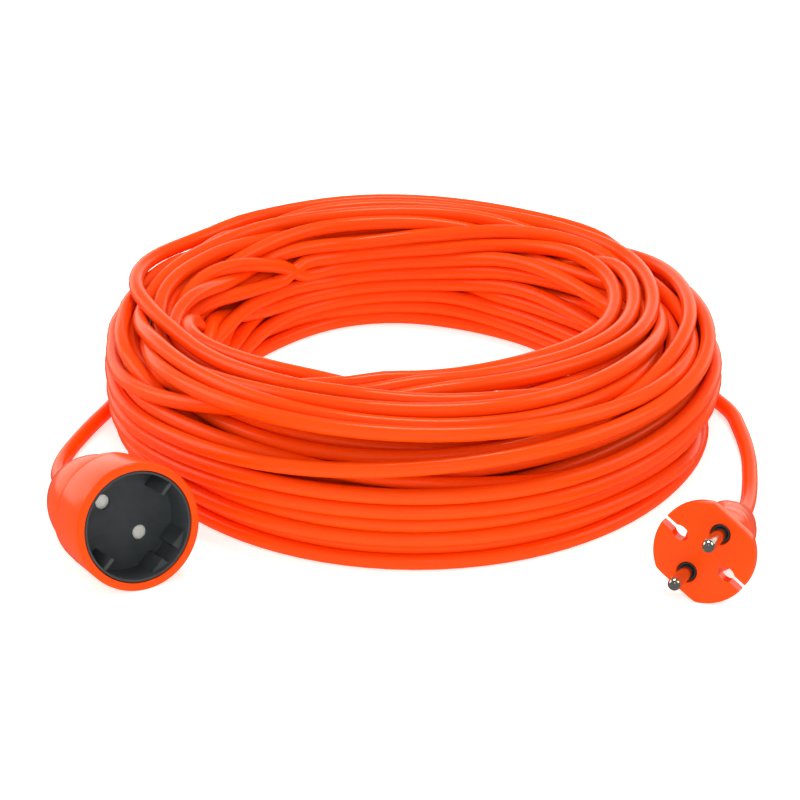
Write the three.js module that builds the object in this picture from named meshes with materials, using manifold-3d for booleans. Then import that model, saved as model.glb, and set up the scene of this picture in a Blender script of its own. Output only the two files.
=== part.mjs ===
// Extension cord: a loose round coil of PVC cord with a moulded coupler socket at one end
// and a moulded contour plug at the other. Millimetres, +Z up.
// Origin: the middle of the coil, on the surface that it lies on.
// Both connectors are drawn in their own frame: +Z out of the mating face, pins or holes along X,
// the mating face at z = 0 and the cord leaving backwards.
import * as THREE from 'three';
import { mergeVertices } from 'three/addons/utils/BufferGeometryUtils.js';
import Module from 'manifold-3d';

// Clearances
const gap = 0.3; // between pieces that touch
const rest = 0.05; // between the underside of a connector and the surface it lies on

// Cord
const cordDiameter = 6;
const coreDiameter = 2.7;
const copperDiameter = 1.4;
const coreSpacing = coreDiameter + gap; // between the two core centres inside the sheath

// Coil
const coilOuterRadius = 122;
const coilInnerRadius = 80;
const coilHeight = 54;
const coilCorner = 11;

// Pins, holes and crimps, common to both ends
const pinDiameter = 4.8;
const pinLength = 19;
const pinSpacing = 19;
const tailDiameter = 3;
const crimpDiameter = 5;
const crimpLength = 8;
const crimpGrip = 3.4; // length of the crimp that holds the metal tail

// Face of the plug, which the socket's recess takes
const discRadius = 18.5;
const discFlat = 16.3; // from the axis to the flats at the ends of the pin line

// Coupler socket
const rimWidth = 3; // of the ring around the insert
const cupBackWall = 1.6; // behind the contact carrier's flange
const cupTaper = 1.7; // by how much the cup narrows towards its back
const rimRounding = 0.8;
const seamDepth = 0.45;
const seamPlace = 5.2; // from the back of the cup
const shoulderWall = 4.3; // around the contact carrier
const neckRadius = 10.4;
const sheathHold = 8; // length of cord held in the socket's neck
const recessPlay = 0.9; // between the recess and the face of a plug
const recessDepth = 16.5;
const insertWall = 0.9;
const insertSet = 0.4; // the insert's lip below the rim
const floorThickness = 1.4;
const chamberDepth = 6; // room for the shutter behind the floor
const pinHolePlay = 0.7; // by how much a pin hole is wider than a pin
const finThickness = 1.4;
const finLength = 5;
const finDrop = 0.9;
const guidePlay = 0.5; // between the flat of a guide block and the flat of a plug's face
const guideGroove = 6;
const guideWidth = 19.6;
const guideDrop = 3.4;
const guideSlope = 1.3;
const wellWall = 1.4; // around a contact in its carrier
const flangeThickness = 2.5;
const contactPlay = 0.1;
const contactWall = 0.7;
const contactDepth = 11.2;
const contactSlit = 1.2;
const contactSlitDepth = 8.6;
const wellFloor = 1.6;

// Shutter
const shutterThickness = 1.6;
const shutterHubWall = 1.9;
const shutterArmWidth = 5.6;
const shutterLap = 1.05; // by how far a pad reaches past the hole it covers
const shutterTurn = 42; // degrees from closed to open
const postDiameter = 3.2;
const stopDiameter = 2;
const stopRadius = 11;
const springWire = 0.6;
const springPlay = 0.7; // between the spring and its post, beyond the gap
const springTurns = 3;

// Plug
const discThickness = 5.5;
const discBevel = 0.6;
const slitPlay = 0.8; // at each side of a fin
const slitHoleWidth = 4.8;
const slitHoleLength = 6.8;
const slitHolePlace = 10.9; // from the axis to the middle of the hole
const plugLength = 50;
const gripRootWall = 2.6; // past the ends of the pin bridge
const gripEndRadius = 6.7;
const gripRootFlattening = 0.42;
const collarWall = 0.9;
const collarDrop = 0.9;
const bridgeEnd = 3; // past the middle of a pin
const bridgeSide = 1; // past the side of a collar
const bridgeThickness = 3.2;

// Sizes that follow from those above
const recessRadius = discRadius + recessPlay;
const insertRadius = recessRadius + insertWall;
const cupRadius = insertRadius + gap + rimWidth;
const pinHoleDiameter = pinDiameter + pinHolePlay;
const guideFlat = discFlat + guidePlay;
const contactRadius = pinDiameter / 2 + contactPlay;
const contactOuter = contactRadius + contactWall;
const carrierRadius = pinSpacing / 2 + contactOuter + gap + wellWall;
const shoulderRadius = carrierRadius + gap + shoulderWall;
const shutterHub = postDiameter / 2 + gap + shutterHubWall;
const shutterPad = pinHoleDiameter / 2 + shutterLap;
const springRadius = postDiameter / 2 + gap + springPlay + springWire / 2;
const slitWidth = finThickness + 2 * slitPlay;
const collarDiameter = pinDiameter + 2 * collarWall;
const bridgeLength = pinSpacing + 2 * bridgeEnd;
const bridgeWidth = collarDiameter + 2 * bridgeSide;
const gripRootRadius = bridgeLength / 2 + gripRootWall;

// Where the connectors lie: the middle of the mating face, the turn about +Z from facing -Y,
// the tilt of the mating side upwards, and the roll of the pin line about the axis, in degrees.
const socketStance = { x: -98.3, y: -142, radius: cupRadius, turn: 28, tilt: 11.4, roll: -48 };
const plugStance = { x: 102.1, y: -151.4, radius: discRadius, turn: -19.9, tilt: 11.7, roll: 55.5 };

// Routes of the two leads on the surface, from the connector to the coil's outer side
const socketLeadRoute = [
  [-133.4, -75, 7.9], [-135.8, -65.3, 5.8], [-136.5, -54.5, 4.2], [-135.8, -43.8, 3.3],
  [-133.8, -33.5, 3.05], [-131.1, -23.8, 3.05], [-128.4, -14.8, 3.05],
];
const plugLeadRoute = [
  [122.5, -94.3, 5.7], [124.9, -84, 4.1], [126.8, -72, 3.2], [128.4, -57.5, 3.05],
  [129.4, -42, 3.05], [129.2, -28, 3.05], [128.3, -15.5, 3.05],
];

const colours = {
  orangeCord: 0xf2560c, orangeMoulding: 0xf4560c, darkInsert: 0x2c3135, paleShutter: 0xd9dcda,
  brass: 0xc9a455, nickel: 0xc9c6be, tin: 0xb9bbbb, copper: 0xb8683c, brown: 0x6b3a20,
  blue: 0x2a5fae, spring: 0x9c9fa3, bridge: 0x3a3330,
};

const lathes = 48; // facets round a large turned shape
const carrierFacets = 40;
const gripFacets = 36;
const smallLathes = 20; // facets round a pin, a hole or a contact
const crimpFacets = 16;
const pegFacets = 12;
const leadFacets = 12;
const coilFacets = 64;
const wireSides = 8; // sides of a core or a spring wire
const wireSteps = 6; // steps along a core

const wasm = await Module();
wasm.setup();

// --- geometry helpers -----------------------------------------------------------------------

function toSolid(geometry) {
  const bare = geometry.clone();
  bare.deleteAttribute('normal');
  bare.deleteAttribute('uv');
  const merged = mergeVertices(bare, 1e-4);
  const corners = merged.index.array;
  const triangles = [];
  for (let i = 0; i < corners.length; i += 3) {
    const [a, b, c] = [corners[i], corners[i + 1], corners[i + 2]];
    if (a !== b && b !== c && c !== a) triangles.push(a, b, c);
  }
  return new wasm.Manifold(new wasm.Mesh({
    numProp: 3,
    vertProperties: new Float32Array(merged.attributes.position.array),
    triVerts: new Uint32Array(triangles),
  }));
}

function toGeometry(solid) {
  const mesh = solid.getMesh();
  const geometry = new THREE.BufferGeometry();
  geometry.setAttribute('position', new THREE.BufferAttribute(mesh.vertProperties, 3));
  geometry.setIndex(new THREE.BufferAttribute(mesh.triVerts, 1));
  geometry.computeVertexNormals();
  return geometry;
}

// A turned shape about +Z from [radius, z] points, closed on the axis or on its first point.
function turned(profile, facets = lathes) {
  const points = profile.map(([radius, z]) => new THREE.Vector2(radius, z));
  const onAxis = points[0].x === 0 && points[points.length - 1].x === 0;
  if (THREE.ShapeUtils.area(points) < 0) points.reverse();
  if (!onAxis) points.push(points[0].clone());
  return new THREE.LatheGeometry(points, facets).rotateX(Math.PI / 2);
}

function rod(radius, bottom, top, facets = smallLathes) {
  return turned([[0, bottom], [radius, bottom], [radius, top], [0, top]], facets);
}

function box(x0, x1, y0, y1, z0, z1) {
  return new THREE.BoxGeometry(x1 - x0, y1 - y0, z1 - z0)
    .translate((x0 + x1) / 2, (y0 + y1) / 2, (z0 + z1) / 2);
}

function extruded(shape, z0, z1, curveSegments = 12) {
  return new THREE.ExtrudeGeometry(shape, { depth: z1 - z0, bevelEnabled: false, curveSegments })
    .translate(0, 0, z0);
}

function circleShape(radius, sides) {
  const points = [];
  for (let i = 0; i < sides; i += 1) {
    const angle = (2 * Math.PI * i) / sides;
    points.push(new THREE.Vector2(radius * Math.cos(angle), radius * Math.sin(angle)));
  }
  return new THREE.Shape(points);
}

function tube(curve, radius, sides, steps) {
  return new THREE.ExtrudeGeometry(circleShape(radius, sides), {
    extrudePath: curve, steps, bevelEnabled: false,
  });
}

function joined(...geometries) {
  return geometries.map(toSolid).reduce((sum, solid) => sum.add(solid));
}

function piece(name, geometry, colour, roughness, metalness = 0) {
  const material = new THREE.MeshStandardMaterial({ color: colour, roughness, metalness });
  const mesh = new THREE.Mesh(geometry, material);
  mesh.name = name;
  return mesh;
}

const sides = [{ name: 'brown', sign: -1 }, { name: 'blue', sign: 1 }];

// --- coil -----------------------------------------------------------------------------------

function coilRing() {
  const corner = (middle, z, from) => {
    const arc = [];
    for (let i = 0; i <= 3; i += 1) {
      const angle = from + (i / 3) * (Math.PI / 2);
      arc.push([middle + coilCorner * Math.cos(angle), z + coilCorner * Math.sin(angle)]);
    }
    return arc;
  };
  const inner = coilInnerRadius + coilCorner;
  const outer = coilOuterRadius - coilCorner;
  return turned([
    ...corner(outer, coilCorner, -Math.PI / 2),
    ...corner(outer, coilHeight - coilCorner, 0),
    ...corner(inner, coilHeight - coilCorner, Math.PI / 2),
    ...corner(inner, coilCorner, Math.PI),
  ], coilFacets);
}

// --- wiring that both ends share -------------------------------------------------------------

// The crimp sleeve behind a metal tail, from z = top downwards, and the ends it holds.
function crimpSleeve(x, top) {
  const inTail = tailDiameter / 2 + gap;
  const inCopper = copperDiameter / 2 + gap;
  return turned([
    [crimpDiameter / 2, top], [crimpDiameter / 2, top - crimpLength],
    [inCopper, top - crimpLength], [inCopper, top - crimpGrip], [inTail, top - crimpGrip],
    [inTail, top],
  ], crimpFacets).translate(x, 0, 0);
}

function copperEnd(x, top) {
  const start = top - crimpGrip;
  return rod(copperDiameter / 2, top - crimpLength - gap, start, pegFacets).translate(x, 0, 0);
}

function corePath(sign, start, end) {
  const reach = (start - end) * 0.55;
  const x0 = (sign * pinSpacing) / 2;
  const x1 = (sign * coreSpacing) / 2;
  return new THREE.CubicBezierCurve3(
    new THREE.Vector3(x0, 0, start), new THREE.Vector3(x0, 0, start - reach),
    new THREE.Vector3(x1, 0, end + reach), new THREE.Vector3(x1, 0, end),
  );
}

// Levels of the wiring behind the metal tails, whose tips reach down to z = tailEnd
function wiringLevels(tailEnd) {
  const crimpTop = tailEnd + crimpGrip - 2 * gap;
  const coreStart = crimpTop - crimpLength - 2 * gap;
  const coreEnd = coreStart - 1.15 * (pinSpacing - coreSpacing) / 2;
  return { crimpTop, coreStart, coreEnd };
}

function wiringPockets(levels, pocketTop, length) {
  const pockets = sides.flatMap(({ sign }) => [
    rod(crimpDiameter / 2 + gap, levels.coreStart, pocketTop, crimpFacets)
      .translate((sign * pinSpacing) / 2, 0, 0),
    tube(corePath(sign, levels.coreStart + gap, levels.coreEnd - gap),
      coreDiameter / 2 + gap, wireSides, wireSteps),
  ]);
  const bore = rod(cordDiameter / 2 + gap, -length - 1, levels.coreEnd);
  return joined(...pockets, bore);
}

function addWiring(group, end, levels, length) {
  for (const { name, sign } of sides) {
    const x = (sign * pinSpacing) / 2;
    group.add(piece(`${end}_crimp_${name}`, crimpSleeve(x, levels.crimpTop), colours.tin, 0.4, 1));
    group.add(piece(`${end}_copper_${name}`, copperEnd(x, levels.crimpTop), colours.copper, 0.4, 1));
    const path = corePath(sign, levels.coreStart, levels.coreEnd);
    const core = tube(path, coreDiameter / 2, wireSides, wireSteps);
    group.add(piece(`${end}_core_${name}`, core, colours[name], 0.5));
  }
  const sheath = rod(cordDiameter / 2, -length + gap, levels.coreEnd - gap);
  group.add(piece(`${end}_sheath_end`, sheath, colours.orangeCord, 0.35));
}

// --- coupler socket --------------------------------------------------------------------------

const floorBack = -(recessDepth + floorThickness);
const insertBack = floorBack - chamberDepth;
const flangeTop = insertBack - gap;
const flangeBottom = flangeTop - flangeThickness;
const contactTop = flangeTop - 2 * gap;
const contactBottom = contactTop - contactDepth;
const carrierBottom = contactBottom - gap - wellFloor;
const tailEnd = carrierBottom - crimpGrip + gap;
const cupLength = -flangeBottom + gap + cupBackWall;
const socketWiring = wiringLevels(tailEnd);
const socketLength = sheathHold - socketWiring.coreEnd;

function socketOvermould() {
  const bore = insertRadius + gap;
  const back = cupRadius - cupTaper;
  const cone = (z) => {
    const along = (z + cupLength + 3) / (-socketLength + cupLength + 3);
    return shoulderRadius + (neckRadius - shoulderRadius) * along;
  };
  const seam = -(cupLength - seamPlace);
  const shell = toSolid(turned([
    [0, -1], [bore, -1], [bore, 0], [cupRadius - rimRounding, 0],
    [cupRadius - 0.3 * rimRounding, -0.3 * rimRounding], [cupRadius, -rimRounding],
    [back + seamDepth, seam], [back, seam - seamDepth], [back, -cupLength + 1.6],
    [back - 0.6, -cupLength + 0.5], [back - 1.8, -cupLength],
    [shoulderRadius + 1.2, -cupLength - 1], [cone(-cupLength - 3), -cupLength - 3],
    [cone(-socketLength + 3), -socketLength + 3], [neckRadius - 0.4, -socketLength + 0.7],
    [neckRadius - 1.4, -socketLength], [0, -socketLength],
  ]));
  const cavity = joined(
    rod(bore, flangeBottom - gap, 1, lathes),
    rod(carrierRadius + gap, carrierBottom - gap, flangeTop, carrierFacets),
  );
  return toGeometry(shell.subtract(cavity)
    .subtract(wiringPockets(socketWiring, carrierBottom + gap, socketLength)));
}

function guideBlock(end, half) {
  const outside = recessRadius + insertWall / 2;
  const top = -guideDrop;
  const profile = new THREE.Shape([
    new THREE.Vector2(guideFlat, -recessDepth - floorThickness / 2),
    new THREE.Vector2(outside, -recessDepth - floorThickness / 2),
    new THREE.Vector2(outside, top + guideSlope), new THREE.Vector2(guideFlat, top),
  ]);
  const width = (guideWidth - guideGroove) / 2;
  const block = extruded(profile, 0, width).rotateX(Math.PI / 2);
  block.translate(0, half > 0 ? guideGroove / 2 + width : -guideGroove / 2, 0);
  const limit = rod(outside, -recessDepth - floorThickness, 0, lathes);
  const solid = toSolid(block).intersect(toSolid(limit));
  return end > 0 ? solid : solid.rotate([0, 0, 180]);
}

function socketInsert() {
  let insert = toSolid(turned([
    [0, floorBack], [recessRadius, floorBack], [recessRadius, insertBack],
    [insertRadius, insertBack], [insertRadius, -insertSet], [recessRadius, -insertSet],
    [recessRadius, -recessDepth], [0, -recessDepth],
  ]));
  for (const end of [-1, 1]) {
    for (const half of [-1, 1]) insert = insert.add(guideBlock(end, half));
    const y0 = recessRadius - finLength;
    const y1 = recessRadius + insertWall / 2;
    const fin = end > 0
      ? box(-finThickness / 2, finThickness / 2, y0, y1, -recessDepth - 1, -finDrop)
      : box(-finThickness / 2, finThickness / 2, -y1, -y0, -recessDepth - 1, -finDrop);
    insert = insert.add(toSolid(fin));
    const hole = rod(pinHoleDiameter / 2, floorBack - 1, -recessDepth + 1);
    insert = insert.subtract(toSolid(hole.translate((end * pinSpacing) / 2, 0, 0)));
  }
  return toGeometry(insert);
}

function contactCarrier() {
  const flange = rod(insertRadius, flangeBottom, flangeTop, lathes);
  const block = rod(carrierRadius, carrierBottom, flangeTop - 1, carrierFacets);
  const post = rod(postDiameter / 2, flangeTop - 1, floorBack - gap);
  let carrier = joined(flange, block, post);
  const pegTop = floorBack - gap;
  const clear = shutterPad + stopDiameter / 2 + gap;
  const arm = pinSpacing / 2;
  const stopAngle = Math.acos((arm ** 2 + stopRadius ** 2 - clear ** 2) / (2 * arm * stopRadius));
  const open = THREE.MathUtils.degToRad(shutterTurn);
  for (const { sign } of sides) {
    for (const angle of [-stopAngle, stopAngle + open]) {
      const peg = rod(stopDiameter / 2, flangeTop - 1, pegTop, pegFacets);
      const x = sign * stopRadius * Math.cos(angle);
      const y = sign * stopRadius * Math.sin(angle);
      carrier = carrier.add(toSolid(peg.translate(x, y, 0)));
    }
    const well = rod(contactOuter + gap, contactBottom - gap, flangeTop + 1);
    const tailHole = rod(tailDiameter / 2 + gap, carrierBottom - 1, flangeTop - 1);
    const x = (sign * pinSpacing) / 2;
    carrier = carrier.subtract(toSolid(well.translate(x, 0, 0)));
    carrier = carrier.subtract(toSolid(tailHole.translate(x, 0, 0)));
  }
  return toGeometry(carrier);
}

function femaleContact(sign) {
  const sleeve = toSolid(turned([
    [0, contactBottom + 1], [contactRadius, contactBottom + 1], [contactRadius, contactTop],
    [contactOuter, contactTop], [contactOuter, contactBottom], [tailDiameter / 2, contactBottom],
    [tailDiameter / 2, tailEnd], [0, tailEnd],
  ], smallLathes));
  const slit = box(-contactSlit / 2, contactSlit / 2, -contactOuter - 1, contactOuter + 1,
    contactTop - contactSlitDepth, contactTop + 1);
  return toGeometry(sleeve.subtract(toSolid(slit))).translate((sign * pinSpacing) / 2, 0, 0);
}

const shutterTop = floorBack - gap;
const shutterBottom = shutterTop - shutterThickness;

function shutterRotor() {
  const arm = pinSpacing / 2;
  const bar = box(-arm, arm, -shutterArmWidth / 2, shutterArmWidth / 2, shutterBottom, shutterTop);
  const pads = sides.map(({ sign }) => (
    rod(shutterPad, shutterBottom, shutterTop, smallLathes).translate(sign * arm, 0, 0)
  ));
  const hub = rod(shutterHub, shutterBottom, shutterTop, smallLathes);
  const bore = rod(postDiameter / 2 + gap, shutterBottom - 1, shutterTop + 1);
  return toGeometry(joined(bar, ...pads, hub).subtract(toSolid(bore)));
}

class Helix extends THREE.Curve {
  constructor(radius, bottom, top, turns) {
    super();
    Object.assign(this, { radius, bottom, top, turns });
  }

  getPoint(t, target = new THREE.Vector3()) {
    const angle = 2 * Math.PI * this.turns * t;
    const z = this.bottom + (this.top - this.bottom) * t;
    return target.set(this.radius * Math.cos(angle), this.radius * Math.sin(angle), z);
  }
}

function shutterSpring() {
  const margin = gap + springWire / 2;
  const coil = new Helix(springRadius, flangeTop + margin, shutterBottom - margin, springTurns);
  return tube(coil, springWire / 2, wireSides, 12 * springTurns);
}

function coupler() {
  const group = new THREE.Group();
  group.add(piece('socket_overmould', socketOvermould(), colours.orangeMoulding, 0.38));
  group.add(piece('socket_insert', socketInsert(), colours.darkInsert, 0.5));
  group.add(piece('socket_contact_carrier', contactCarrier(), colours.darkInsert, 0.6));
  group.add(piece('shutter_rotor', shutterRotor(), colours.paleShutter, 0.5));
  group.add(piece('shutter_spring', shutterSpring(), colours.spring, 0.3, 1));
  for (const { name, sign } of sides) {
    group.add(piece(`socket_contact_${name}`, femaleContact(sign), colours.brass, 0.3, 1));
  }
  addWiring(group, 'socket', socketWiring, socketLength);
  return group;
}

// --- plug ------------------------------------------------------------------------------------

const bridgeTop = -discThickness;
const bridgeBottom = bridgeTop - bridgeThickness;
const pinTailEnd = bridgeBottom - crimpGrip;
const plugWiring = wiringLevels(pinTailEnd);

function discShape() {
  const halfAngle = Math.acos(discFlat / discRadius);
  const shape = new THREE.Shape();
  shape.absarc(0, 0, discRadius - discBevel, halfAngle, Math.PI - halfAngle, false);
  shape.absarc(0, 0, discRadius - discBevel, Math.PI + halfAngle, -halfAngle, false);
  shape.closePath();
  return shape;
}

function plugDisc() {
  return new THREE.ExtrudeGeometry(discShape(), {
    depth: discThickness - 2 * discBevel, bevelThickness: discBevel, bevelSize: discBevel,
    bevelSegments: 1, curveSegments: 20,
  }).translate(0, 0, -discThickness + discBevel);
}

// The grip is turned, then pressed flat near the disc so that the slits stay open.
function plugGrip() {
  const root = -discThickness + 1;
  const span = plugLength - discThickness;
  const radiusAt = (t) => gripEndRadius
    + (gripRootRadius - gripEndRadius) * Math.cos((Math.PI / 2) * t ** 1.1);
  const profile = [[0, root]];
  const rings = 9;
  for (let i = 0; i <= rings; i += 1) {
    const t = i / rings;
    profile.push([radiusAt(t), root - (span - 0.2) * t]);
  }
  profile.push([gripEndRadius - 0.8, -plugLength], [0, -plugLength]);
  const grip = turned(profile, gripFacets);
  const position = grip.attributes.position;
  for (let i = 0; i < position.count; i += 1) {
    const t = THREE.MathUtils.clamp((-position.getZ(i) - discThickness) / (0.8 * span), 0, 1);
    const flattening = THREE.MathUtils.lerp(gripRootFlattening, 1, Math.sin((Math.PI / 2) * t));
    position.setY(i, position.getY(i) * flattening);
  }
  return grip;
}

function slitCut(sign) {
  const outline = new THREE.Shape();
  outline.absellipse(0, slitHolePlace, slitHoleWidth / 2, slitHoleLength / 2, 0, 2 * Math.PI);
  const hole = extruded(outline, -discThickness - 1, 1, 10);
  const slit = box(-slitWidth / 2, slitWidth / 2, slitHolePlace, discRadius + 1,
    -discThickness - 1, 1);
  const cut = joined(hole, slit);
  return sign > 0 ? cut : cut.rotate([0, 0, 180]);
}

function plugOvermould() {
  let moulding = joined(plugDisc(), plugGrip());
  for (const { sign } of sides) moulding = moulding.subtract(slitCut(sign));
  const pocket = box(-bridgeLength / 2 - gap, bridgeLength / 2 + gap, -bridgeWidth / 2 - gap,
    bridgeWidth / 2 + gap, bridgeBottom - gap, bridgeTop + gap);
  const collarHoles = sides.map(({ sign }) => (
    rod(collarDiameter / 2 + gap, bridgeBottom, 1).translate((sign * pinSpacing) / 2, 0, 0)
  ));
  moulding = moulding.subtract(joined(pocket, ...collarHoles));
  return toGeometry(moulding.subtract(wiringPockets(plugWiring, bridgeBottom + gap, plugLength)));
}

function pinBridge() {
  const plate = box(-bridgeLength / 2, bridgeLength / 2, -bridgeWidth / 2, bridgeWidth / 2,
    bridgeBottom, bridgeTop);
  const collars = sides.map(({ sign }) => (
    rod(collarDiameter / 2, bridgeBottom, -collarDrop).translate((sign * pinSpacing) / 2, 0, 0)
  ));
  let bridge = joined(plate, ...collars);
  for (const { sign } of sides) {
    const hole = rod(pinDiameter / 2 + gap, bridgeBottom - 1, 1);
    bridge = bridge.subtract(toSolid(hole.translate((sign * pinSpacing) / 2, 0, 0)));
  }
  return toGeometry(bridge);
}

function plugPin(sign) {
  const radius = pinDiameter / 2;
  const dome = [];
  for (let i = 0; i <= 5; i += 1) {
    const angle = (i / 5) * (Math.PI / 2);
    dome.push([radius * Math.cos(angle), pinLength - radius + radius * Math.sin(angle)]);
  }
  dome[dome.length - 1][0] = 0;
  return turned([
    [0, pinTailEnd], [tailDiameter / 2, pinTailEnd], [tailDiameter / 2, bridgeBottom],
    [radius, bridgeBottom], ...dome,
  ], smallLathes).translate((sign * pinSpacing) / 2, 0, 0);
}

function plug() {
  const group = new THREE.Group();
  group.add(piece('plug_overmould', plugOvermould(), colours.orangeMoulding, 0.38));
  group.add(piece('plug_pin_bridge', pinBridge(), colours.bridge, 0.6));
  for (const { name, sign } of sides) {
    group.add(piece(`plug_pin_${name}`, plugPin(sign), colours.nickel, 0.15, 1));
  }
  addWiring(group, 'plug', plugWiring, plugLength);
  return group;
}

// --- placing ---------------------------------------------------------------------------------

function stand(group, { x, y, radius, turn, tilt, roll }) {
  const { degToRad } = THREE.MathUtils;
  const about = (axis, degrees) => (
    new THREE.Quaternion().setFromAxisAngle(axis, degToRad(degrees))
  );
  const up = new THREE.Vector3(0, 0, 1);
  const right = new THREE.Vector3(1, 0, 0);
  group.quaternion.copy(about(up, turn)).multiply(about(right, 90 - tilt)).multiply(about(up, roll));
  group.position.set(x, y, radius * Math.cos(degToRad(tilt)) + rest);
  group.updateMatrixWorld(true);
  return group;
}

// A lead leaves the connector straight along its axis, then follows its route.
function lead(connector, length, route) {
  const out = (distance) => connector.localToWorld(new THREE.Vector3(0, 0, -length - distance));
  const points = [out(gap), out(6), ...route.map((point) => new THREE.Vector3(...point))];
  const curve = new THREE.CatmullRomCurve3(points, false, 'centripetal');
  const steps = Math.round(curve.getLength() / (1.3 * cordDiameter));
  return tube(curve, cordDiameter / 2, leadFacets, steps);
}

const socketEnd = stand(coupler(), socketStance);
const plugEnd = stand(plug(), plugStance);

const group = new THREE.Group();
group.add(piece('cord_coil', coilRing(), colours.orangeCord, 0.35));
group.add(piece('socket_lead', lead(socketEnd, socketLength, socketLeadRoute),
  colours.orangeCord, 0.35));
group.add(piece('plug_lead', lead(plugEnd, plugLength, plugLeadRoute), colours.orangeCord, 0.35));
group.add(socketEnd, plugEnd);

export default group;
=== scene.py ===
import math

import bmesh
import bpy
import numpy as np
from mathutils import Matrix, Vector


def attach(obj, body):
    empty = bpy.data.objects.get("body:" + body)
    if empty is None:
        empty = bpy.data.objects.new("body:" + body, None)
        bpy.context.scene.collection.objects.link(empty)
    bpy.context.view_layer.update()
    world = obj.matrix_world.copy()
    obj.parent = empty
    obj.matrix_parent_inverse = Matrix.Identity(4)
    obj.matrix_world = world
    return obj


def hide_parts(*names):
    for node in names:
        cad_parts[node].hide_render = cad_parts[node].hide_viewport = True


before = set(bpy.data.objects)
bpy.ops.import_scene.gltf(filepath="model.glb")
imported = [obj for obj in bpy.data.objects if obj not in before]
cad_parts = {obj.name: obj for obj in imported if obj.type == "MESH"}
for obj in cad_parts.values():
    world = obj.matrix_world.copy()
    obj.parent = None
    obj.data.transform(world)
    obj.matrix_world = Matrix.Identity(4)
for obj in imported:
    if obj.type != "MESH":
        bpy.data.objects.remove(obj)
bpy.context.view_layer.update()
MM = 0.001


# --- camera ----------------------------------------------------------------------------------
def stand_camera(elevation=25.0, distance=1.25, spread=14.61, aim_right=-0.0048, aim_up=0.0059):
    """Looks at the coil from in front and above. The aim is a little off the coil's middle."""
    e = math.radians(elevation)
    place = Vector((0, -math.cos(e), math.sin(e))) * distance
    up = Vector((0, math.sin(e), math.cos(e)))
    target = Vector((1, 0, 0)) * aim_right * distance + up * aim_up * distance
    camera = bpy.data.cameras.new("camera")
    camera.angle = math.radians(spread)
    camera.clip_start, camera.clip_end = 0.05, 20
    holder = bpy.data.objects.new("camera", camera)
    bpy.context.scene.collection.objects.link(holder)
    holder.location = place
    holder.rotation_euler = (target - place).to_track_quat("-Z", "Y").to_euler()
    bpy.context.scene.camera = holder


stand_camera()

# --- sizes, in millimetres -------------------------------------------------------------------
CORD = 6.0
TURNS = 47  # whole turns; another half turn brings the end round to the other side
SLOTS = 48  # steps round one turn while the coil settles
COIL_ENDS = (123.3, 126.2)  # how far out the run meets the coil, at the socket's side and the plug's

SOCKET = dict(x=-98.3, y=-142, radius=23.6, turn=28, tilt=11.4, roll=-48, length=64)
PLUG = dict(x=102.1, y=-151.4, radius=18.5, turn=-19.9, tilt=11.7, roll=55.5, length=50)
SOCKET_ROUTE = [
    (-133.4, -75, 7.9), (-135.8, -65.3, 5.8), (-136.5, -54.5, 4.2), (-135.8, -43.8, 3.3),
    (-133.8, -33.5, 3.05), (-131.1, -23.8, 3.05), (-128.4, -14.8, 3.05),
]
PLUG_ROUTE = [
    (122.5, -94.3, 5.7), (124.9, -84, 4.1), (126.8, -72, 3.2), (128.4, -57.5, 3.05),
    (129.4, -42, 3.05), (129.2, -28, 3.05), (128.3, -15.5, 3.05),
]


def standing(s):
    """The matrix from a connector's own frame, +Z out of its mating face, to where it lies."""
    tilt = math.radians(s["tilt"])
    place = Matrix.Translation((s["x"], s["y"], s["radius"] * math.cos(tilt) + 0.05))
    turn = Matrix.Rotation(math.radians(s["turn"]), 4, "Z")
    lean = Matrix.Rotation(math.radians(90) - tilt, 4, "X")
    roll = Matrix.Rotation(math.radians(s["roll"]), 4, "Z")
    return Matrix.Diagonal((MM, MM, MM, 1)) @ place @ turn @ lean @ roll


socket_frame = standing(SOCKET)
plug_frame = standing(PLUG)


# --- the cord's run --------------------------------------------------------------------------
def ease(t):
    t = np.clip(t, 0, 1)
    return t * t * (3 - 2 * t)


def section(angle):
    """The winding's inner radius, outer radius and height round the coil: it is highest in front."""
    s, c = np.sin(angle), np.cos(angle)
    back, front = np.maximum(s, 0), np.maximum(-s, 0)
    turned_by = np.degrees(np.arctan2(s, c))

    def near(middle, width):
        return np.exp(-(((turned_by - middle) / width) ** 2))

    behind = np.maximum(np.sin(angle - 0.2), 0)
    inner = 80 + 15 * behind**6 + 4 * front**2 - 12 * near(-33, 34) - 3 * near(38, 20)
    outer = 122.5 + 3.5 * back**2 + 10 * front**3 - 3.2 * near(15, 22) + 2.8 * near(160, 18)
    return inner, outer, 51 - 1.0 * back**2 + 8.5 * front**1.5 - 0.8 * back * c


def foot(angle, z):
    """How far the winding's outer side draws in towards the floor, more at the two sides."""
    front = np.maximum(-np.sin(angle), 0)
    return 4.5 * (1 - front**3) * (1 - ease(z / 18))


def spread_sites(rng, count):
    """Places for the turns across the winding's section, 0 to 1 both ways, well apart."""
    p = rng.uniform(0, 1, (count, 2))
    for _ in range(400):
        away = p[:, None] - p[None]
        near = np.exp(-((away**2).sum(2) + np.eye(count)) / 0.006)
        p = np.clip(p + 0.02 * (away * near[:, :, None]).sum(1), 0, 1)
    return p


def winding_order(rng, sites):
    """Each turn lands beside the one before it, more often than not."""
    left = list(range(len(sites)))
    first = min(left, key=lambda i: np.hypot(*(sites[i] - (1, 0))))
    order = [first]
    left.remove(first)
    while left:
        step = np.hypot(*(sites[left] - sites[order[-1]]).T)
        early = len(order) < len(sites) / 2
        cost = step + rng.uniform(0, 0.35, len(left)) + 0.25 * early * sites[left, 1]
        pick = left[int(np.argmin(cost))]
        order.append(pick)
        left.remove(pick)
    return sites[order]


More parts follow.
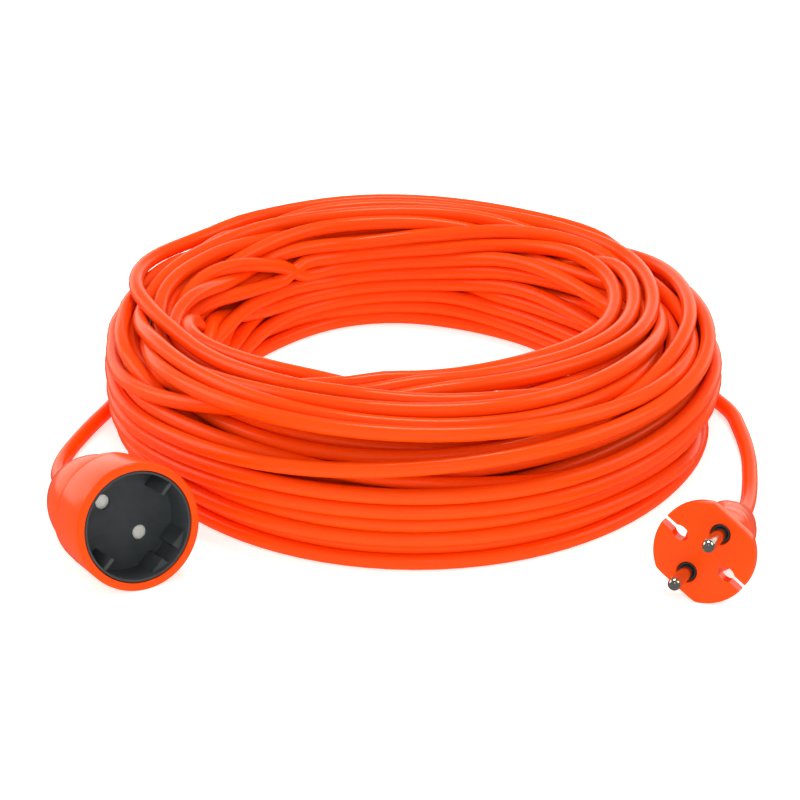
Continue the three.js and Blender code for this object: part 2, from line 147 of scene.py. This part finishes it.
# Turns that lie off centre on top of the coil. Each is a ring: its turn number, the degrees where it
# starts and ends, its mean radius, how far off centre it lies, the side where that brings it in,
# and its height above the section's top.
RINGS_ON_TOP = [
    (15, 145, 190, 115.5, 0, 0, -5.5),
    (19, 190, 275, 116.5, 30, 228, -1.4),
    (27, 258, 395, 106, 24, 328, 0.5),
    (31, 246, 400, 100, 26, 328, -0.8),
    (35, 262, 392, 112, 22, 328, 0.6),
]
OUTER_RING = 23  # the turn on top that keeps to the outer edge at the back and comes in at the left
FOOT_TURNS = (2, 5, 8)  # the turns that lie at the foot of the front, one on another


def guides(angle, top):
    """How firmly each point of the run is guided, and to what radius and height."""
    share, radius, height = (np.zeros(len(angle)) for _ in range(3))
    crest = top - CORD / 2

    def guide(number, first, last, wanted):
        a = np.degrees(angle) + 360 * number
        part = ease((a - first + 15) / 30) * ease((last + 15 - a) / 30)
        r, z = wanted(a)
        on = part > 0
        share[on] = part[on]
        radius[on], height[on] = r[on], z[on]

    for number, first, last, mean, off, side, lift in RINGS_ON_TOP:
        guide(number, first, last, lambda a: (mean - off * np.cos(np.radians(a - side)), crest + lift))
    guide(OUTER_RING, 60, 290, lambda a: (
        120.5 - 8 * ease((105 - a) / 45) - 25 * ease((a - 152) / 50) + 12 * ease((a - 208) / 75),
        crest - 3 * np.exp(-(((a - 136) / 14) ** 2))))
    front = np.maximum(-np.sin(angle), 0)
    for level, number in enumerate(FOOT_TURNS):
        guide(number, 212, 330, lambda a: (115 + 14 * front**3, 0 * a + CORD * (level + 0.5)))
    return share, radius, height


def wind_coil(seed=4, rounds=1600):
    """Settles the turns: they stay stiff, sink, push each other apart and keep to the section."""
    rng = np.random.default_rng(seed)
    count = TURNS * SLOTS + SLOTS // 2 + 1
    turn = np.arange(count) / SLOTS
    angle = math.pi - 2 * math.pi * turn
    rows = (count + SLOTS - 1) // SLOTS
    spare = rows * SLOTS - count
    home = winding_order(rng, spread_sites(rng, rows + 1))
    start, span = rng.uniform(0, 0.4, rows + 1), rng.uniform(0.5, 0.6, rows + 1)
    row = np.floor(turn).astype(int)
    moved = ease((turn - row - start[row]) / span[row])
    across = home[row] + (home[row + 1] - home[row]) * moved[:, None]
    knots = np.arange(rows + 2)
    for side in range(2):
        for wave, size in ((1, 0.08), (2, 0.035)):
            for swing in (np.sin, np.cos):
                share = np.interp(turn, knots, rng.normal(0, size, rows + 2))
                across[:, side] += share * swing(wave * angle)
    across = np.clip(across, 0, 1)
    inner, outer, top = section(angle)
    r = inner + CORD / 2 + across[:, 0] * (outer - inner - CORD)
    z = CORD / 2 + across[:, 1] * (top - CORD)
    held = SLOTS // 9
    tails = [np.array([end, end - 5, 116.5, 115, 114.5]) for end in COIL_ENDS]
    middle, half = (inner + outer) / 2, (outer - inner - CORD) / 2
    waist = top * 0.45
    itself = np.eye(rows, dtype=bool)[None]
    share, over_r, over_z = guides(angle, top)
    for step in range(rounds):
        done = step / rounds
        reach = CORD * min(1.0, 0.5 + 0.7 * done)
        for a, low, high in ((r, inner, outer), (z, 0, top)):
            a -= low
            a /= high - low
            b = np.concatenate([[a[0]] * 2, a, [a[-1]] * 2])
            bend = b[:-4] - 4 * b[1:-3] + 6 * b[2:-2] - 4 * b[3:-1] + b[4:]
            a -= (0.12 if done < 0.9 else 0.05) * bend
            a *= high - low
            a += low
        z -= 0.001
        r += 0.12 * share * (over_r - r)
        z += 0.12 * share * (over_z - z)
        columns = np.stack([np.append(a, np.full(spare, 9e3)).reshape(rows, SLOTS).T for a in (r, z)])
        away = columns[:, :, :, None] - columns[:, :, None, :]
        gap2 = (away**2).sum(0)
        touch = (gap2 < reach * reach) & ~itself
        gap = np.sqrt(np.where(touch, gap2, 1.0)) + 1e-6
        columns += (np.where(touch, (reach - gap) / gap, 0.0) * 0.42 * away).sum(3)
        r, z = (c.T.reshape(-1)[:count].copy() for c in columns)
        x, y = (r - middle) / half, np.maximum((z - waist) / (top - CORD / 2 - waist), 0)
        out = np.maximum((np.abs(x) ** 3.6 + y**3.6) ** (1 / 3.6), 1)
        loose = 1 - share
        r += loose * (middle + (r - middle) / out - r)
        r = np.minimum(r, outer - CORD / 2 - foot(angle, z))
        z += loose * (np.where(y > 0, waist + (z - waist) / out, z) - z)
        z = np.maximum(z, CORD / 2)
        r[:held], r[-held:] = tails[0], tails[1][::-1]
        z[:held], z[-held:] = CORD / 2, CORD / 2
    return finer(np.stack([r * np.cos(angle), r * np.sin(angle), z], 1), 2)


def finer(points, times):
    """More points on the same smooth run."""
    p = np.concatenate([[2 * points[0] - points[1]], points, [2 * points[-1] - points[-2]]])
    a, b, c, d = p[:-3], p[1:-2], p[2:-1], p[3:]
    steps = [
        b + t / 2 * ((c - a) + t * ((2 * a - 5 * b + 4 * c - d) + t * (3 * b - a - 3 * c + d)))
        for t in np.arange(times) / times
    ]
    return np.concatenate([np.stack(steps, 1).reshape(-1, 3), points[-1:]])


def smooth_run(points, step):
    """A centripetal Catmull-Rom curve through the points, as points about `step` apart."""
    p = np.array([2 * np.array(points[0]) - points[1], *points, 2 * np.array(points[-1]) - points[-2]])
    run = []
    for a, b, c, d in zip(p, p[1:], p[2:], p[3:]):
        t1 = np.linalg.norm(b - a) ** 0.5
        t2 = t1 + np.linalg.norm(c - b) ** 0.5
        t3 = t2 + np.linalg.norm(d - c) ** 0.5
        for t in np.linspace(t1, t2, max(2, round(np.linalg.norm(c - b) / step)), endpoint=False):
            ab = a + (b - a) * t / t1
            bc = b + (c - b) * (t - t1) / (t2 - t1)
            cd = c + (d - c) * (t - t2) / (t3 - t2)
            abc = ab + (bc - ab) * t / t2
            bcd = bc + (cd - bc) * (t - t1) / (t3 - t1)
            run.append(abc + (bcd - abc) * (t - t1) / (t2 - t1))
    run.append(p[-2])
    return np.array(run)


def lead_points(stance_matrix, length, route):
    out = [np.array(stance_matrix @ Vector((0, 0, -length - d))) / MM for d in (0.3, 6)]
    return out + [np.array(p, float) for p in route]


coil = wind_coil()
head = lead_points(socket_frame, SOCKET["length"], SOCKET_ROUTE)
tail = lead_points(plug_frame, PLUG["length"], PLUG_ROUTE)


def lead_run(lead, inward):
    """The lead and the coil's first few steps on one curve, up to the eighth step."""
    points = smooth_run([*lead, *inward[0:13:4]], 4)
    return points[: int(np.argmin(np.linalg.norm(points - inward[8], axis=1)))]


run = np.concatenate([lead_run(head, coil), coil[8:-8], lead_run(tail, coil[::-1])[::-1]])


# --- meshes ----------------------------------------------------------------------------------
def piece(name, verts, faces, matrix=Matrix.Identity(4), smooth=True):
    mesh = bpy.data.meshes.new(name)
    mesh.from_pydata([tuple(v) for v in verts], [], [tuple(f) for f in faces])
    mesh.transform(matrix)
    obj = bpy.data.objects.new(name, mesh)
    bpy.context.scene.collection.objects.link(obj)
    mesh.polygons.foreach_set("use_smooth", [smooth] * len(mesh.polygons))
    mesh.update()
    return obj


def cord_tube(name, points, radius, sides=14):
    """A tube along the run, with UVs in millimetres: along it, then round it."""
    p = np.asarray(points, float)
    along = np.gradient(p, axis=0)
    along /= np.linalg.norm(along, axis=1)[:, None]
    side = np.cross(along, (0, 0, 1.0))
    side /= np.linalg.norm(side, axis=1)[:, None]
    lift = np.cross(side, along)
    a = 2 * np.pi * np.arange(sides) / sides
    cos, sin = np.cos(a)[None, :, None], np.sin(a)[None, :, None]
    rings = p[:, None] + radius * (cos * side[:, None] + sin * lift[:, None])
    verts = (rings * MM).reshape(-1, 3)
    n = len(p)
    i, j = np.meshgrid(np.arange(n - 1), np.arange(sides), indexing="ij")
    k = (j + 1) % sides
    quads = np.stack([i * sides + j, i * sides + k, (i + 1) * sides + k, (i + 1) * sides + j], -1)
    quads = quads.reshape(-1, 4)
    caps = [list(range(sides))[::-1], list(range((n - 1) * sides, n * sides))]
    obj = piece(name, verts, [*quads.tolist(), *caps])
    length = np.concatenate([[0], np.cumsum(np.linalg.norm(np.diff(p, axis=0), axis=1))])
    uv = obj.data.uv_layers.new(name="along")
    round_mm = 2 * np.pi * radius / sides
    su = np.stack([length[i], length[i], length[i + 1], length[i + 1]], -1).reshape(-1)
    sv = np.stack([j, j + 1, j + 1, j], -1).reshape(-1) * round_mm
    flat = np.zeros((len(obj.data.loops), 2))
    flat[: len(su), 0], flat[: len(su), 1] = su, sv
    uv.data.foreach_set("uv", flat.reshape(-1))
    return obj


cord = cord_tube("cord", run, CORD / 2)


# --- connector pieces, each in its connector's own frame, in millimetres -----------------------
def turned(name, profile, facets=128):
    """A turned shape about +Z from (radius, z) points, closed on the axis or on its first point."""
    p = list(profile)
    closed = not (p[0][0] == 0 and p[-1][0] == 0)
    area = sum(p[i - 1][0] * p[i][1] - p[i][0] * p[i - 1][1] for i in range(len(p)))
    if area < 0:
        p.reverse()
    verts, rows = [], []
    for radius, z in p:
        if radius == 0:
            rows.append([len(verts)] * facets)
            verts.append((0, 0, z))
        else:
            rows.append(list(range(len(verts), len(verts) + facets)))
            turns = [2 * math.pi * i / facets for i in range(facets)]
            verts += [(radius * math.cos(t), radius * math.sin(t), z) for t in turns]
    faces = []
    pairs = list(zip(rows, rows[1:])) + ([(rows[-1], rows[0])] if closed else [])
    for low, high in pairs:
        for i in range(facets):
            j = (i + 1) % facets
            corner = [low[i], low[j], high[j], high[i]]
            face = [v for k, v in enumerate(corner) if v not in corner[:k]]
            if len(face) > 2:
                faces.append(face)
    return piece(name, verts, faces)


def filleted(points, steps=4):
    """Rounds each corner of a profile that carries a third number, its radius."""
    out = []
    n = len(points)
    for i, point in enumerate(points):
        if len(point) == 2:
            out.append(tuple(point))
            continue
        p, radius = np.array(point[:2], float), point[2]
        a = np.array(points[i - 1][:2], float) - p
        b = np.array(points[(i + 1) % n][:2], float) - p
        la, lb = np.linalg.norm(a), np.linalg.norm(b)
        a, b = a / la, b / lb
        half = math.acos(max(-1, min(1, float(a @ b)))) / 2
        back = min(radius / math.tan(half), 0.48 * la, 0.48 * lb)
        start, end = p + a * back, p + b * back
        for t in np.linspace(0, 1, steps + 1):
            out.append(tuple((1 - t) ** 2 * start + 2 * t * (1 - t) * p + t * t * end))
    return out


def prism(name, outline, z0, z1):
    """An upright solid from z0 to z1 on an outline of (x, y) points."""
    n = len(outline)
    verts = [(x, y, z) for z in (z0, z1) for x, y in outline]
    sides = [(i, (i + 1) % n, n + (i + 1) % n, n + i) for i in range(n)]
    return piece(name, verts, [list(range(n))[::-1], list(range(n, 2 * n)), *sides])


def block(name, x0, x1, y0, y1, z0, z1):
    return prism(name, [(x0, y0), (x1, y0), (x1, y1), (x0, y1)], z0, z1)


def apply(obj, kind, **settings):
    """Adds a modifier to the object and bakes its result into the mesh."""
    m = obj.modifiers.new(kind, kind)
    for key, value in settings.items():
        setattr(m, key, value)
    shape = bpy.data.meshes.new_from_object(obj.evaluated_get(bpy.context.evaluated_depsgraph_get()))
    obj.modifiers.clear()
    obj.data = shape
    return obj


def combine(obj, operation, *others):
    for other in others:
        apply(obj, "BOOLEAN", object=other, operation=operation, solver="EXACT")
        bpy.data.objects.remove(other)
    return obj


def ease_edges(obj, width, segments=2, angle=32):
    return apply(obj, "BEVEL", width=width, segments=segments, limit_method="ANGLE",
                 angle_limit=math.radians(angle), use_clamp_overlap=True)


def spun(obj, degrees):
    obj.data.transform(Matrix.Rotation(math.radians(degrees), 4, "Z"))
    obj.data.update()
    return obj


def finish_piece(obj, matrix, body, slot, *nodes, crease=35):
    """Puts a piece where its connector lies, shades it and hides the CAD parts that it stands in for."""
    obj.data.transform(matrix)
    b = bmesh.new()
    b.from_mesh(obj.data)
    bmesh.ops.remove_doubles(b, verts=b.verts, dist=1e-7)
    bmesh.ops.dissolve_degenerate(b, edges=b.edges, dist=1e-7)
    bmesh.ops.recalc_face_normals(b, faces=b.faces)
    for face in b.faces:
        face.smooth = True
    for edge in b.edges:
        edge.smooth = len(edge.link_faces) == 2 and edge.calc_face_angle() < math.radians(crease)
    b.to_mesh(obj.data)
    b.free()
    obj.data.update()
    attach(obj, body)
    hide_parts(*nodes)
    return obj


PIN, PIN_LENGTH, SPACING = 4.8, 19, 19


def socket_shell():
    """Ring, cup, shoulder and long neck of the coupler, hollow where its insides sit."""
    neck = []
    for t in np.linspace(0, 1, 14):
        z = -32.5 - 28.5 * t
        neck.append((19.3 - 8.5 * t + 2.0 * math.sin(math.pi * t), z))
    return turned("socket_moulding", filleted([
        (20.6, 0, 0.3), (23.6, 0, 1.0), (22.3, -22.6, 0.15), (21.45, -22.8), (21.45, -23.4),
        (21.95, -23.55, 0.15), (21.8, -28.5, 1.3), (19.7, -29.1, 0.5), (19.2, -30.6), *neck,
        (10.5, -61.8), (9.9, -64, 1.3), (3.3, -64, 0.4),
        (3.3, -56.4), (4.6, -55.4), (12.4, -47), (12.4, -38.3), (14.75, -38.2), (14.75, -27), (20.6, -27),
    ]), 160)


def socket_lining():
    """The dark insert: wall, floor, earth fins and the four guide blocks."""
    floor_top, floor_back = -16.5, -17.9
    lining = turned("socket_lining", filleted([
        (0, floor_back), (19.4, floor_back), (19.4, -23.9), (20.3, -23.9), (20.3, -0.4, 0.25),
        (19.4, -0.4, 0.25),
        (19.4, floor_top, 0.5), (0, floor_top),
    ]), 160)
    parts = []
    for end in (-1, 1):
        for low in (3.0, -9.8):
            guide = block("guide", 16.8, 21, low, low + 6.8, -17.2, -2.1)
            slope = block("slope", -4, 4, -6, 6, 0, 3)
            lean = Matrix.Rotation(math.radians(-27), 4, "Y")
            slope.data.transform(Matrix.Translation((18.8, low + 3.4, -2.75)) @ lean)
            combine(guide, "DIFFERENCE", slope)
            ease_edges(guide, 0.22)
            parts.append(guide if end > 0 else spun(guide, 180))
        fin = ease_edges(block("fin", -0.7, 0.7, 14.4, 21, -17.2, -0.9), 0.2)
        parts.append(fin if end > 0 else spun(fin, 180))
    trim = turned("trim", [(0, -18), (19.85, -18), (19.85, 1), (0, 1)], 160)
    combine(parts[0], "UNION", *parts[1:])
    combine(parts[0], "INTERSECT", trim)
    combine(lining, "UNION", parts[0])
    for end in (-1, 1):
        hole = turned("hole", [
            (0, -19), (2.75, -19), (2.75, -16.75), (3.05, -16.45), (3.05, -15), (0, -15),
        ], 48)
        hole.data.transform(Matrix.Translation((end * SPACING / 2, 0, 0)))
        combine(lining, "DIFFERENCE", hole)
    return lining


def shutter():
    """The white rotor behind the floor: a hub, two arms and two round pads."""
    top, bottom = -18.2, -19.8
    outline = []
    for end in (0, math.pi):
        outline += [(math.cos(end + a) * 3.8 + math.cos(end) * 9.5, math.sin(end + a) * 3.8)
                    for a in np.linspace(-1.9, 1.9, 25)]
        outline += [(3.8 * math.cos(end + a), 3.8 * math.sin(end + a))
                    for a in np.linspace(0.83, math.pi - 0.83, 13)]
    rotor = prism("shutter", outline, bottom, top)
    bore = turned("bore", [(0, -25), (1.9, -25), (1.9, -15), (0, -15)], 40)
    combine(rotor, "DIFFERENCE", bore)
    return ease_edges(rotor, 0.25)


def plug_face_outline(radius=18.5, flat=16.3, steps=96):
    """The round face with a flat at each end of the pin line, its corners eased."""
    corner = math.acos(flat / radius)
    points = []
    for end in (0, math.pi):
        for t in np.linspace(-1, 1, 9):
            a = corner * t
            soft = 0.35 * max(0, abs(t) - 0.75) / 0.25
            reach = min(flat / math.cos(a), radius) - soft * 0.6
            points.append((reach * math.cos(end + a), reach * math.sin(end + a)))
        arc = np.linspace(corner, math.pi - corner, steps // 2)[1:-1]
        points += [(radius * math.cos(end + a), radius * math.sin(end + a)) for a in arc]
    return points


def plug_body():
    """Face and tapering grip in one moulding, with the two slits for earth fins cut through."""
    face = ease_edges(prism("plug_moulding", plug_face_outline(), -5.5, 0), 0.7, 3, 50)
    rings, around = 34, 96
    verts = []
    for i in range(rings + 1):
        t = i / rings
        z = -4.5 - 45.0 * t
        radius = 6.7 + 8.4 * math.cos(math.pi / 2 * t**1.1)
        flat = 0.42 + 0.58 * math.sin(math.pi / 2 * min(max((-z - 5.5) / 35.6, 0), 1))
        rib = 0.0
        if 0.2 < t < 0.86:
            rib = 0.28 * max(0.0, math.sin((t - 0.2) / 0.66 * math.pi * 9)) ** 2
        for k in range(around):
            a = 2 * math.pi * k / around
            side = abs(math.sin(a)) ** 3
            reach = radius + rib * (1 - side)
            verts.append((reach * math.cos(a), reach * flat * math.sin(a), z))
    for radius, z in ((6.5, -49.75), (5.8, -50)):
        turns = [2 * math.pi * k / around for k in range(around)]
        verts += [(radius * math.cos(a), radius * math.sin(a), z) for a in turns]
    rings += 2
    faces = []
    for i in range(rings):
        low, high = i * around, (i + 1) * around
        faces += [(low + k, high + k, high + (k + 1) % around, low + (k + 1) % around) for k in range(around)]
    faces += [list(range(around)), list(range(rings * around, (rings + 1) * around))[::-1]]
    grip = piece("grip", verts, faces)
    body = combine(face, "UNION", grip)
    for end in (0, 180):
        keyhole = [(2.4 * math.cos(a), 10.9 + 3.4 * math.sin(a))
                   for a in np.linspace(0, 2 * math.pi, 40, endpoint=False)]
        hole = spun(prism("hole", keyhole, -8, 2), end)
        slit = spun(block("slit", -1.5, 1.5, 11.5, 20, -8, 2), end)
        combine(body, "DIFFERENCE", hole, slit)
    hollow = turned("hollow", [(0, -51), (3.3, -51), (3.3, -27), (0, -27)], 40)
    combine(body, "DIFFERENCE", hollow)
    pocket = block("pocket", -12.8, 12.8, -4.6, 4.6, -9, -5.2)
    combine(body, "DIFFERENCE", pocket)
    for x in (-SPACING / 2, SPACING / 2):
        collar = turned("collar", [(0, -9), (3.6, -9), (3.6, -0.45), (3.95, 0.05), (3.95, 2), (0, 2)], 56)
        collar.data.transform(Matrix.Translation((x, 0, 0)))
        well = turned("well", [(0, -18), (2.8, -18), (2.8, -8), (0, -8)], 32)
        well.data.transform(Matrix.Translation((x, 0, 0)))
        combine(body, "DIFFERENCE", collar, well)
    wires = ease_edges(block("wires", -11.5, 11.5, -2.2, 2.2, -28, -17), 0.5)
    return combine(body, "DIFFERENCE", wires)


def plug_bridge():
    """The dark bridge that holds the pins, with a stepped collar round each."""
    bridge = ease_edges(block("plug_bridge", -12.5, 12.5, -4.3, 4.3, -8.7, -5.5), 0.4)
    for x in (-SPACING / 2, SPACING / 2):
        collar = turned("collar", filleted([
            (0, -8), (3.3, -8), (3.3, -0.9, 0.3), (2.9, -0.9), (2.9, -1.3, 0.1), (0, -1.3),
        ]), 56)
        collar.data.transform(Matrix.Translation((x, 0, 0)))
        hole = turned("hole", [(0, -12), (2.6, -12), (2.6, 2), (0, 2)], 48)
        hole.data.transform(Matrix.Translation((x, 0, 0)))
        combine(bridge, "UNION", collar)
        combine(bridge, "DIFFERENCE", hole)
    return bridge


def plug_pin(name, x):
    """A turned pin with a domed tip, a fine ring where the tip starts, and a thin tail for the crimp."""
    r = PIN / 2
    dome = [(r * math.cos(a), PIN_LENGTH - r + r * math.sin(a)) for a in np.linspace(0, math.pi / 2, 14)]
    dome[-1] = (0, PIN_LENGTH)
    pin = turned(name, [
        (0, -12.1), (1.3, -12.1), (1.5, -11.9), (1.5, -8.7), (r - 0.15, -8.7), (r, -8.55), (r, 15.2),
        (r - 0.09, 15.3), (r - 0.09, 15.5), (r, 15.6), *dome,
    ], 64)
    pin.data.transform(Matrix.Translation((x, 0, 0)))
    return pin


socket_moulding = finish_piece(socket_shell(), socket_frame, "lead_set", "pvc_moulding", "socket_overmould")
socket_insert = finish_piece(socket_lining(), socket_frame, "lead_set", "dark_polyamide", "socket_insert")
shutter_piece = finish_piece(shutter(), socket_frame, "shutter", "pale_polyamide", "shutter_rotor")
plug_moulding = finish_piece(plug_body(), plug_frame, "lead_set", "pvc_moulding", "plug_overmould")
pin_bridge = finish_piece(plug_bridge(), plug_frame, "lead_set", "dark_polyamide", "plug_pin_bridge")
pin_brown = finish_piece(plug_pin("pin_brown", -SPACING / 2), plug_frame, "lead_set", "nickel_plate",
                         "plug_pin_brown")
pin_blue = finish_piece(plug_pin("pin_blue", SPACING / 2), plug_frame, "lead_set", "nickel_plate",
                        "plug_pin_blue")


# --- materials -------------------------------------------------------------------------------
def colour(hex_srgb):
    parts = [int(hex_srgb[i : i + 2], 16) / 255 for i in (1, 3, 5)]
    return (*[c / 12.92 if c <= 0.04045 else ((c + 0.055) / 1.055) ** 2.4 for c in parts], 1)


def add(tree, kind, settings=None, links=None):
    """Adds a node; settings are its properties or socket values, links are the sockets it reads."""
    node = tree.nodes.new(kind)
    for key, value in (settings or {}).items():
        if isinstance(key, str) and hasattr(node, key):
            setattr(node, key, value)
        else:
            node.inputs[key].default_value = value
    for key, source in (links or {}).items():
        tree.links.new(source, node.inputs[key])
    return node


def material(name):
    m = bpy.data.materials.new(name)
    m.use_nodes = True
    m.node_tree.nodes.clear()
    return m, m.node_tree


def dress(obj, *materials):
    obj.data.materials.clear()
    for m in materials:
        obj.data.materials.append(m)


def finish(name, colours, spots_mm, bump=None, vector=None, **shader):
    """A finish whose colour drifts between two shades over spots of a real size, with a fine relief.
    bump is (grain in mm, height in mm, strength); vector, when given, makes the coordinates."""
    m, t = material(name)
    place = vector(t) if vector else add(t, "ShaderNodeTexCoord").outputs["Object"]
    spots = add(t, "ShaderNodeTexCoord").outputs["Object"]
    drift = add(t, "ShaderNodeTexNoise", {"Scale": 1 / (spots_mm * MM), "Detail": 2.0}, {"Vector": spots})
    tint = add(t, "ShaderNodeMix", {"data_type": "RGBA", 6: colour(colours[0]), 7: colour(colours[1])},
               {0: drift.outputs["Fac"]})
    links = {"Base Color": tint.outputs[2]}
    if bump:
        grain, height, strength = bump
        scale = 1.0 if vector else 1 / (grain * MM)
        relief = add(t, "ShaderNodeTexNoise", {"Scale": scale, "Detail": 1.5}, {"Vector": place})
        raised = add(t, "ShaderNodeBump", {"Strength": strength, "Distance": height * MM},
                     {"Height": relief.outputs["Fac"]})
        links["Normal"] = raised.outputs["Normal"]
    names = {"metallic": "Metallic", "roughness": "Roughness", "specular": "Specular IOR Level",
             "glow": "Emission Strength"}
    surface = add(t, "ShaderNodeBsdfPrincipled", {names[k]: v for k, v in shader.items()}, links)
    add(t, "ShaderNodeOutputMaterial", {}, {"Surface": surface.outputs["BSDF"]})
    return m


def along_cord(t):
    """Coordinates that stretch a relief along the cord: about 14 mm long and 2.5 mm round it."""
    uv = add(t, "ShaderNodeUVMap", {"uv_map": "along"})
    stretch = add(t, "ShaderNodeMapping", {"Scale": (1 / 14, 1 / 2.5, 1)}, {"Vector": uv.outputs["UV"]})
    return stretch.outputs["Vector"]


# Soft PVC sheath, extruded: a clean satin gloss, with faint swells where the twisted cores press out.
sheath = finish("soft_pvc_extruded", ("#fc4a04", "#ff5207"), 30, (9, 0.25, 0.2), along_cord, roughness=0.24,
                specular=0.26)
# Soft PVC, injection moulded: the same orange with a polished mould's gloss and slight sink waves.
moulding = finish("soft_pvc_moulded", ("#fc4a04", "#ff5006"), 14, (5, 0.12, 0.2), roughness=0.2,
                  specular=0.28)
# Glass-filled polyamide from a spark-eroded mould: near black, with a fine matt grain of 0.45 mm,
# a little coarser than on the real part so that it shows.
dark_polyamide = finish("polyamide_spark_eroded", ("#363b3f", "#495055"), 6, (0.45, 0.04, 0.5), roughness=0.5)
# Unfilled polyamide, moulded: milky white with a soft sheen.
pale_polyamide = finish("polyamide_natural", ("#f3f4f2", "#fafbf9"), 2, (0.9, 0.04, 0.3), roughness=0.42)
# Nickel plate on turned brass: mirror bright, with a trace of turning lines.
nickel = finish("nickel_plated_brass", ("#cfcbc2", "#dedad2"), 3, (0.25, 0.004, 0.25),
                metallic=1.0, roughness=0.14)
# Brass strip, pressed: warm and a little dulled by handling.
brass = finish("pressed_brass", ("#b08a3e", "#cda858"), 2.5, (0.4, 0.01, 0.3), metallic=1.0, roughness=0.3)
# Tin plate on a pressed crimp: pale grey, soft gloss.
tin = finish("tinned_crimp", ("#a9abac", "#c6c8c8"), 1.5, (0.5, 0.02, 0.4), metallic=1.0, roughness=0.38)
# Bare stranded copper: red-brown, darker in the grooves between the strands.
copper = finish("bare_copper", ("#8f4424", "#c9764a"), 0.4, (0.3, 0.05, 0.7), metallic=1.0, roughness=0.36)
# Spring steel, drawn wire: grey with lengthwise draw marks.
spring = finish("drawn_spring_steel", ("#85888b", "#a5a8ab"), 0.8, (0.2, 0.01, 0.3),
                metallic=1.0, roughness=0.28)
# Core insulation, hard PVC: brown for the line and blue for the neutral.
brown_core = finish("core_pvc_brown", ("#5a2f1a", "#6f3d24"), 3, (1.2, 0.03, 0.3), roughness=0.42)
blue_core = finish("core_pvc_blue", ("#1d4f9c", "#2a63b4"), 3, (1.2, 0.03, 0.3), roughness=0.42)
# Matt white paper on a light table: it gives off light of its own, so the ground stays near white.
paper = finish("white_paper", ("#f8f8f8", "#fbfbfb"), 200, None, roughness=0.9, specular=0.2, glow=0.6)

for obj, m in (
    (cord, sheath), (socket_moulding, moulding), (plug_moulding, moulding), (socket_insert, dark_polyamide),
    (pin_bridge, dark_polyamide), (shutter_piece, pale_polyamide), (pin_brown, nickel), (pin_blue, nickel),
):
    dress(obj, m)

for name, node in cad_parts.items():
    kinds = {"contact_carrier": dark_polyamide, "contact": brass, "crimp": tin, "copper": copper,
             "spring": spring, "core_brown": brown_core, "core_blue": blue_core, "sheath_end": sheath,
             "lead": sheath, "coil": sheath, "overmould": moulding, "insert": dark_polyamide,
             "bridge": dark_polyamide, "rotor": pale_polyamide, "pin_b": nickel}
    dress(node, next(m for part, m in kinds.items() if part in name))

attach(cord, "lead_set")
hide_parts("cord_coil", "socket_lead", "plug_lead")


# --- floor and light -------------------------------------------------------------------------
def set_stage():
    """White paper under an overhead softbox, soft lamps at the sides and behind, a front fill and a card."""
    floor = piece("floor", [(-3, -3, 0), (3, -3, 0), (3, 3, 0), (-3, 3, 0)], [(0, 1, 2, 3)], smooth=False)
    dress(floor, paper)
    floor.visible_glossy = False
    world = bpy.data.worlds.new("studio")
    bpy.context.scene.world = world
    world.use_nodes = True
    t = world.node_tree
    t.nodes.clear()
    seen = add(t, "ShaderNodeLightPath").outputs["Is Glossy Ray"]
    strength = add(t, "ShaderNodeMapRange", {"To Min": 0.47, "To Max": 0.16}, {"Value": seen})
    sky = add(t, "ShaderNodeBackground", {"Color": (1, 1, 1, 1)}, {"Strength": strength.outputs["Result"]})
    add(t, "ShaderNodeOutputWorld", {}, {"Surface": sky.outputs["Background"]})
    for name, at, size, power, mirrored in (
        ("overhead", (0.05, 0.25, 1.5), (0.7, 0.26), 10.5, True),
        ("left", (-1.3, 0.35, 0.75), (1.0, 0.9), 6.0, True),
        ("right", (1.3, -0.1, 0.9), (0.9, 0.9), 5.0, True),
        ("back", (0.0, 1.7, 0.15), (4.5, 0.9), 14.0, True),
        ("front", (-0.3, -1.6, 0.75), (2.0, 1.0), 8.5, False),
        ("card", (0.15, -1.4, 1.0), (0.25, 0.25), 0.5, True),
    ):
        light = bpy.data.lights.new(name, "AREA")
        light.shape, light.size, light.size_y, light.energy = "RECTANGLE", *size, power
        light.color = (1.0, 0.93, 0.8)
        lamp = bpy.data.objects.new(name, light)
        bpy.context.scene.collection.objects.link(lamp)
        lamp.location = at
        lamp.rotation_euler = (-Vector(at)).to_track_quat("-Z", "Y").to_euler()
        lamp.visible_glossy, lamp.visible_camera = mirrored, False


set_stage()
bpy.context.scene.view_settings.view_transform = "Standard"
